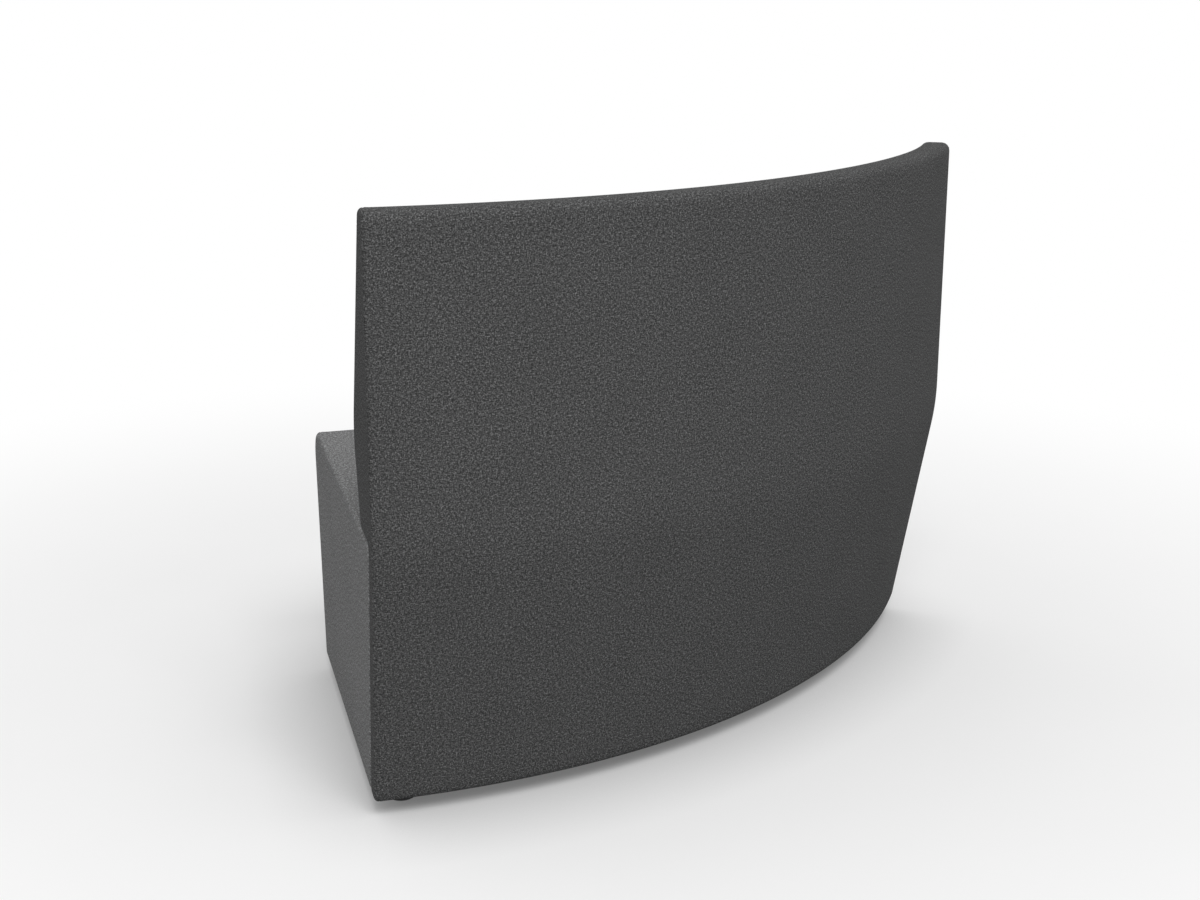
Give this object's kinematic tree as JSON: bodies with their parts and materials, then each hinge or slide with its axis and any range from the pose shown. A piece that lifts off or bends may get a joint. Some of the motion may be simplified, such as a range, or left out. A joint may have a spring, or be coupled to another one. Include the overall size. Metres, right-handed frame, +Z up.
{
  "type": "curved modular sofa",
  "caption": "Curved sector-shaped modular sofa with a high raked back and a flat upholstered seat, on screw levelling feet, with swing-out plates that link it to the next module.",
  "frame": {"origin": "on the floor, under the middle of the bounding box", "axes": "+X along the module's width, towards the end with the swing-out plates; +Y towards the back; +Z up"},
  "size_m": [1.3942, 0.851, 0.945],
  "materials": {
    "seat_fabric": "woven, mid grey",
    "back_fabric": "woven, charcoal",
    "dust_sheet": "non-woven, black",
    "foam": "open-cell foam",
    "plywood": "plain birch plywood",
    "zinc_steel": "zinc plated",
    "foot_plastic": "moulded, black"
  },
  "bodies": {
    "sofa": {"back_bolt_inserts": "zinc_steel", "back_bolt_washers": "zinc_steel", "back_bolts": "zinc_steel", "back_bottom_rail": "plywood", "back_cover": "back_fabric", "back_end_padding_left": "foam", "back_end_padding_right": "foam", "back_foam": "foam", "back_inner_board": "plywood", "back_lower_studs": "plywood", "back_middle_rail": "plywood", "back_outer_padding": "foam", "back_outer_skin": "plywood", "back_top_rail": "plywood", "back_upper_studs": "plywood", "dust_cover": "dust_sheet", "foot_inserts": "zinc_steel", "link_inserts": "zinc_steel", "link_pivot_bolts": "zinc_steel", "link_spacers": "zinc_steel", "seat_corner_blocks": "plywood", "seat_cover": "seat_fabric", "seat_deck": "plywood", "seat_end_padding_left": "foam", "seat_end_padding_right": "foam", "seat_end_panel_left": "plywood", "seat_end_panel_right": "plywood", "seat_end_rail_left": "plywood", "seat_end_rail_right": "plywood", "seat_foam": "foam", "seat_front_padding": "foam", "seat_front_panel": "plywood", "seat_front_rail": "plywood", "seat_rear_panel": "plywood", "seat_rear_rail": "plywood", "seat_rib_left": "plywood", "seat_rib_right": "plywood"},
    "foot_pad_front_left": {"foot_pad_front_left": "foot_plastic"},
    "foot_pad_front_right": {"foot_pad_front_right": "foot_plastic"},
    "foot_pad_rear_left": {"foot_pad_rear_left": "foot_plastic"},
    "foot_pad_rear_middle": {"foot_pad_rear_middle": "foot_plastic"},
    "foot_pad_rear_right": {"foot_pad_rear_right": "foot_plastic"},
    "foot_stem_front_left": {"foot_stem_front_left": "zinc_steel"},
    "foot_stem_front_right": {"foot_stem_front_right": "zinc_steel"},
    "foot_stem_rear_left": {"foot_stem_rear_left": "zinc_steel"},
    "foot_stem_rear_middle": {"foot_stem_rear_middle": "zinc_steel"},
    "foot_stem_rear_right": {"foot_stem_rear_right": "zinc_steel"},
    "link_plate_front": {"link_plate_front": "zinc_steel"},
    "link_plate_rear": {"link_plate_rear": "zinc_steel"}
  },
  "joints": [
    {"name": "foot_travel_front_left", "type": "slide", "parent": "sofa", "child": "foot_pad_front_left", "axis": [0, 0, -1], "range_m": [0, 0.01]},
    {"name": "foot_turn_front_left", "type": "hinge", "parent": "foot_pad_front_left", "child": "foot_stem_front_left", "pos_m": [-0.33604, -0.28851, 0.02], "axis": [0, 0, -1], "range_deg": [0, 3060]},
    {"name": "foot_travel_front_right", "type": "slide", "parent": "sofa", "child": "foot_pad_front_right", "axis": [0, 0, -1], "range_m": [0, 0.01]},
    {"name": "foot_turn_front_right", "type": "hinge", "parent": "foot_pad_front_right", "child": "foot_stem_front_right", "pos_m": [0.33604, -0.28851, 0.02], "axis": [0, 0, -1], "range_deg": [0, 3060]},
    {"name": "foot_travel_rear_left", "type": "slide", "parent": "sofa", "child": "foot_pad_rear_left", "axis": [0, 0, -1], "range_m": [0, 0.01]},
    {"name": "foot_turn_rear_left", "type": "hinge", "parent": "foot_pad_rear_left", "child": "foot_stem_rear_left", "pos_m": [-0.58542, 0.14343, 0.02], "axis": [0, 0, -1], "range_deg": [0, 3060]},
    {"name": "foot_travel_rear_right", "type": "slide", "parent": "sofa", "child": "foot_pad_rear_right", "axis": [0, 0, -1], "range_m": [0, 0.01]},
    {"name": "foot_turn_rear_right", "type": "hinge", "parent": "foot_pad_rear_right", "child": "foot_stem_rear_right", "pos_m": [0.58542, 0.14343, 0.02], "axis": [0, 0, -1], "range_deg": [0, 3060]},
    {"name": "foot_travel_rear_middle", "type": "slide", "parent": "sofa", "child": "foot_pad_rear_middle", "axis": [0, 0, -1], "range_m": [0, 0.01]},
    {"name": "foot_turn_rear_middle", "type": "hinge", "parent": "foot_pad_rear_middle", "child": "foot_stem_rear_middle", "pos_m": [0, 0.26543, 0.02], "axis": [0, 0, -1], "range_deg": [0, 3060]},
    {"name": "link_swing_front", "type": "hinge", "parent": "sofa", "child": "link_plate_front", "pos_m": [0.37783, -0.24012, 0.0165], "axis": [0, 0, -1], "range_deg": [0, 90]},
    {"name": "link_swing_rear", "type": "hinge", "parent": "sofa", "child": "link_plate_rear", "pos_m": [0.5455, 0.0503, 0.0165], "axis": [0, 0, 1], "range_deg": [0, 90]}
  ],
  "couplings": [
    {"joint": "foot_turn_front_left", "follows": "foot_travel_front_left", "rad_per_m": 5026.5},
    {"joint": "foot_turn_front_right", "follows": "foot_travel_front_right", "rad_per_m": 5026.5},
    {"joint": "foot_turn_rear_left", "follows": "foot_travel_rear_left", "rad_per_m": 5026.5},
    {"joint": "foot_turn_rear_right", "follows": "foot_travel_rear_right", "rad_per_m": 5026.5},
    {"joint": "foot_turn_rear_middle", "follows": "foot_travel_rear_middle", "rad_per_m": 5026.5}
  ]
}
